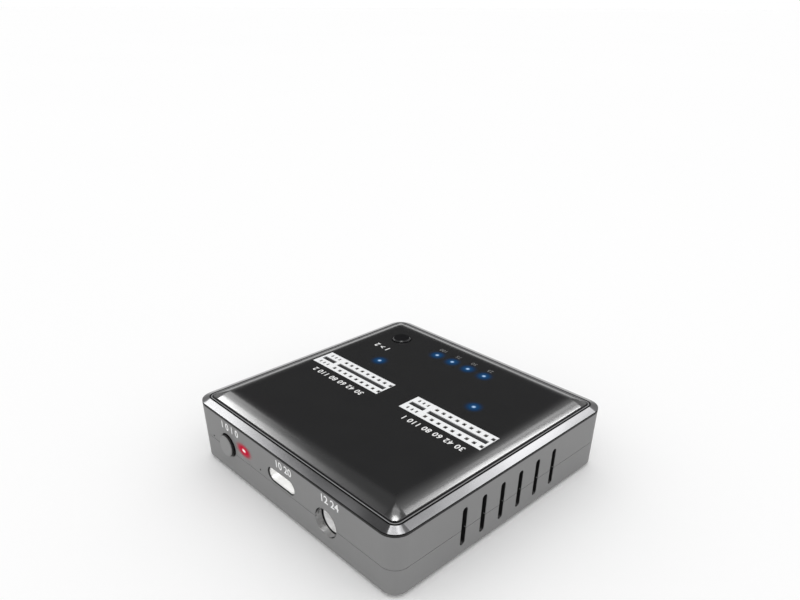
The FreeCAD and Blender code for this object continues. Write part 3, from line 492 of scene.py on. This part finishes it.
low, high = (Vector(corner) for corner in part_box("power_light_pipe"))
tilt = math.atan(wall_lean)
wall_turn = Matrix(((-1, 0, 0), (0, math.sin(tilt), math.cos(tilt)),
                    (0, math.cos(tilt), -math.sin(tilt)))).transposed().to_4x4()
pipe_radius, red_skin = 0.7 * mm, 0.05 * mm
pipe_end = Vector(((low.x + high.x) / 2, high.y, high.z - pipe_radius))
# The red disc carries a painted glow as a halo on the wall round the guide's end.
red_glow = make_glow("red_window", (0.55, 0.012, 0.045), (1.0, 0.9, 0.9), 0.55 * mm, 2.2 * mm, 1.2, 0.6)
place_disc("power_window", 3.4 * mm, red_glow,
           Matrix.Translation(pipe_end + Vector((0, red_skin, 0))) @ wall_turn)


def paint_red_guide(place):
    return {"Emission Color": noise(place, 1 * mm).tint((1.0, 0.25, 0.25), (1.0, 0.5, 0.5))}


dress(finish("red_lit_guide", paint_red_guide, Base_Color=(0.8, 0.1, 0.1, 1), Emission_Strength=1.0),
      "power_light_pipe")


# Board. Green solder mask over copper tracks, with black moulded chips, grey ferrite coils,
# ochre polymer capacitors and tan ceramic ones; nothing on it shows outside but through the slots.
def paint_board(place):
    tracks = place.node("ShaderNodeTexBrick", {"offset": 0.5},
                        {"Vector": place, "Scale": 1 / (4 * mm), "Mortar Size": 0.02}, output="Fac")
    return {"Base Color": tracks.tint((0.012, 0.11, 0.045), (0.03, 0.2, 0.08)),
            "Normal": relief(tracks, 0.02 * mm)}


dress(finish("solder_mask", paint_board, Roughness=0.35), "main_board")
dress(finish("chip_moulding", paint_moulding((0.018, 0.018, 0.019), 0.2, 0.55, 0.06 * mm)),
      "controller_chip", "source_bridge_chip", "target_bridge_chip", "memory_chip", "regulator_chip")
dress(finish("ferrite", paint_moulding((0.10, 0.10, 0.105), 0.15, 0.6)), "power_coil_1", "power_coil_2")
dress(finish("polymer_case", paint_moulding((0.55, 0.36, 0.08), 0.1, 0.45)), "bulk_capacitors")
dress(finish("ceramic", paint_moulding((0.45, 0.32, 0.2), 0.15, 0.5)), "chip_capacitors")


# Fixings. Two zinc-plated screws close the casing from below at opposite corners, each hidden by
# one of the four black rubber feet, which are glued to the flat underside of the lower shell.
zinc = finish("zinc_plate", paint_plating((0.72, 0.72, 0.70), (0.55, 0.55, 0.53), 0.3), Metallic=1.0)
dress(zinc, "case_screws")
dress(finish("foot_rubber", paint_moulding((0.02, 0.02, 0.02), 0.2, 0.8)),
      "foot_front_left", "foot_front_right", "foot_rear_left", "foot_rear_right")


# Printing. Plain white numbers are screen-printed beside the sockets, the button and the ports,
# and small grey ones beside the four progress lamps.
def paint_ink(place):
    return {"Base Color": noise(place, 0.1 * mm).tint((0.78, 0.78, 0.78), (0.88, 0.88, 0.88))}


ink = finish("white_ink", paint_ink, Roughness=0.6)


def paint_grey_ink(place):
    return {"Base Color": noise(place, 0.1 * mm).tint((0.14, 0.14, 0.14), (0.2, 0.2, 0.2))}


grey_ink = finish("grey_ink", paint_grey_ink, Roughness=0.6)


def print_number(name, words, tall, matrix, material=ink, bold=0.02, spread=1.0, body="casing"):
    """Printed figures of a given height, centred where the matrix puts them."""
    curve = bpy.data.curves.new(name, "FONT")
    curve.body = words
    curve.size = tall / 0.69
    curve.offset = bold * curve.size
    curve.space_character = spread
    curve.align_x, curve.align_y = "CENTER", "CENTER"
    curve.materials.append(material)
    figure = bpy.data.objects.new(name, curve)
    bpy.context.collection.objects.link(figure)
    figure.matrix_world = matrix
    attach(figure, body)


ink_skin = 0.03 * mm
socket_figures, lamp_figures, copy_figures, wall_figures = 1.45 * mm, 1.1 * mm, 1.6 * mm, 1.7 * mm
wall_line = 12.55 * mm


def on_top(x, y):
    """A place on the top, for print that reads from the side opposite the ports."""
    return Matrix.Translation((x, y, top_level + ink_skin))


for side, words in (("source", "30 42 60 80 110 1"), ("target", "30 42 60 80 110 2")):
    low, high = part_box(f"{side}_socket")
    print_number(f"{side}_numbers", words, socket_figures,
                 on_top((low[0] + high[0]) / 2 - 0.9 * mm, high[1] + 2.4 * mm), spread=1.12)
for step in range(4):
    percent = 25 * (step + 1)
    x, y = middles[f"progress_{percent}"]
    print_number(f"progress_number_{step + 1}", str(percent), lamp_figures,
                 on_top(x + 0.5 * mm, y - 3.0 * mm), grey_ink, 0.0)
low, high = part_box("clone_button")
print_number("copy_numbers", "1 > 2", copy_figures, on_top((low[0] + high[0]) / 2, high[1] + 3.4 * mm))


def on_port_wall(x, z):
    """A place on the leaning port wall, for print that reads from the ports' side."""
    return Matrix.Translation((x, wall_half.y - wall_lean * (wall_top - z) + ink_skin, z)) @ wall_turn


for name, words, x in (("power_number", "1 0 1 0", 19.3), ("data_number", "10 20", -0.6),
                       ("inlet_number", "12 24", -15.3)):
    print_number(name, words, wall_figures, on_port_wall(x * mm, wall_line))


# Vent pinholes. The port wall has two fine drilled holes, one at each side of the power button
# and its lamp; each is only a small disc of painted shade on the wall here, as no more of them is seen.
def paint_pinhole(place):
    return {"Base Color": noise(place, 0.1 * mm).tint((0.01, 0.01, 0.01), (0.03, 0.03, 0.03))}


pinhole = finish("pinhole_shadow", paint_pinhole, Roughness=0.9, Specular_IOR_Level=0.0)
for name, x, z in (("power_pinhole", 26.96, 7.3), ("data_pinhole", 8.23, 7.7)):
    place_disc(name, 0.22 * mm, pinhole, on_port_wall(x * mm, z * mm))
